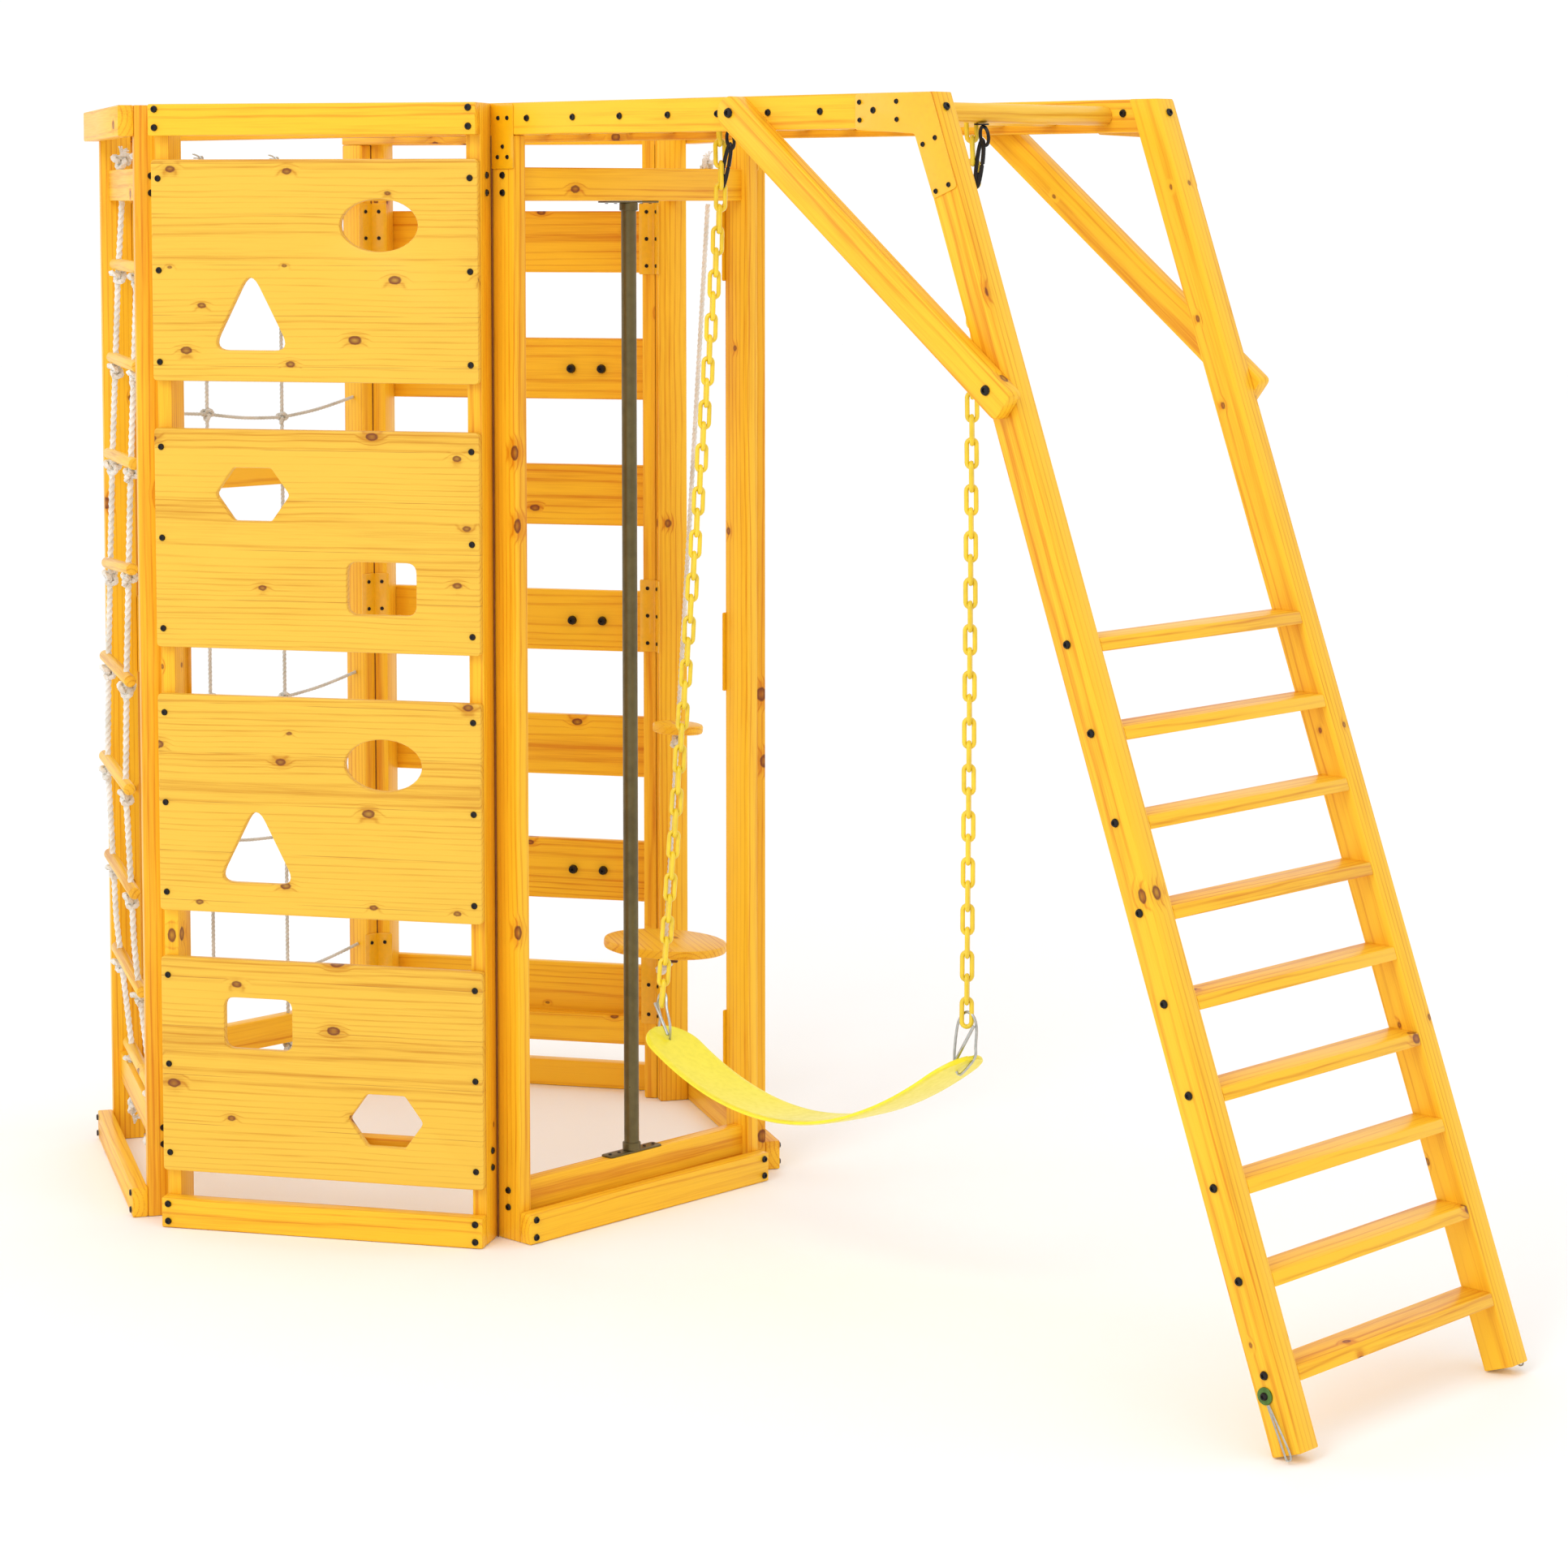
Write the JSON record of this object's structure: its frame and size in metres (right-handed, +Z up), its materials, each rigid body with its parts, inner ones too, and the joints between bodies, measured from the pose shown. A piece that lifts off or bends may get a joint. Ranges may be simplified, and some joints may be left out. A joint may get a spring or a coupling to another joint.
{
  "type": "monkey bars",
  "caption": "Wooden climbing tower with overhead monkey bars running to a leaning ladder, cut-out panels, plank wall, pole, net, rope ladder, belt swing and disc swing.",
  "frame": {"origin": "centre of the bounding box's bottom face, on the floor under the middle of the whole set", "axes": "+X along the overhead monkey bars from the tower to the leaning ladder, +Y across the bars towards the far side, +Z up"},
  "size_m": [2.8572, 1.3486, 1.99],
  "materials": {
    "pine": "clear yellow-stained pine, semi-gloss varnish",
    "panel_pine": "laminated pine board, semi-gloss varnish",
    "rung_pine": "turned pine dowel, semi-gloss varnish",
    "bronze_steel": "dark bronze powder coat",
    "white_rope": "twisted off-white rope",
    "yellow_chain": "yellow plastic-dipped steel chain",
    "black_steel": "blackened steel",
    "yellow_plastic": "flexible moulded plastic, satin"
  },
  "bodies": {
    "root": {"panel_side_frame": "pine", "pole_side_frame": "pine", "open_side_frame": "pine", "plank_side_frame": "pine", "net_side_frame": "pine", "rope_ladder_side_frame": "pine", "climbing_panel_1": "panel_pine", "climbing_panel_2": "panel_pine", "climbing_panel_3": "panel_pine", "climbing_panel_4": "panel_pine", "wall_plank_1": "pine", "wall_plank_2": "pine", "wall_plank_3": "pine", "wall_plank_4": "pine", "wall_plank_5": "pine", "wall_plank_6": "pine", "wall_plank_7": "pine", "beam_near": "pine", "beam_far": "pine", "monkey_rung_1": "rung_pine", "monkey_rung_2": "rung_pine", "monkey_rung_3": "rung_pine", "monkey_rung_4": "rung_pine", "monkey_rung_5": "rung_pine", "monkey_rung_6": "rung_pine", "monkey_rung_7": "rung_pine", "monkey_rung_8": "rung_pine", "monkey_rung_9": "rung_pine", "monkey_rung_10": "rung_pine", "monkey_rung_11": "rung_pine", "monkey_rung_12": "rung_pine", "monkey_rung_13": "rung_pine", "monkey_rung_14": "rung_pine", "monkey_rung_15": "rung_pine", "monkey_rung_16": "rung_pine", "monkey_rung_17": "rung_pine", "ladder_rail_near": "pine", "ladder_rail_far": "pine", "ladder_step_1": "pine", "ladder_step_2": "pine", "ladder_step_3": "pine", "ladder_step_4": "pine", "ladder_step_5": "pine", "ladder_step_6": "pine", "ladder_step_7": "pine", "ladder_step_8": "pine", "ladder_step_9": "pine", "brace_near": "pine", "brace_far": "pine", "fireman_pole": "bronze_steel", "rope_ladder": "white_rope", "climbing_net": "white_rope"},
    "swing_chains": {"swing_chain_left": "yellow_chain", "swing_chain_right": "yellow_chain", "snap_hook_left": "black_steel", "snap_hook_right": "black_steel"},
    "swing_seat": {"belt_seat": "yellow_plastic"},
    "disc_swing": {"disc_rope": "white_rope", "small_disc": "pine", "large_disc": "pine"}
  },
  "joints": [
    {"name": "belt_swing", "type": "hinge", "parent": "root", "child": "swing_chains", "pos_m": [0.30377, -0.048, 1.926], "axis": [1, 0, 0], "range_deg": [-31.5, 38.5]},
    {"name": "belt_seat_tilt", "type": "hinge", "parent": "swing_chains", "child": "swing_seat", "pos_m": [0.30102, -0.13963, 0.4278], "axis": [0.996, 0.0054, 0.0891], "range_deg": [-30, 30]},
    {"name": "disc_swing", "type": "hinge", "parent": "root", "child": "disc_swing", "pos_m": [-0.54867, 0.47511, 1.8217], "axis": [-0.866, 0.5, 0], "range_deg": [-38.5, 31.5]}
  ]
}
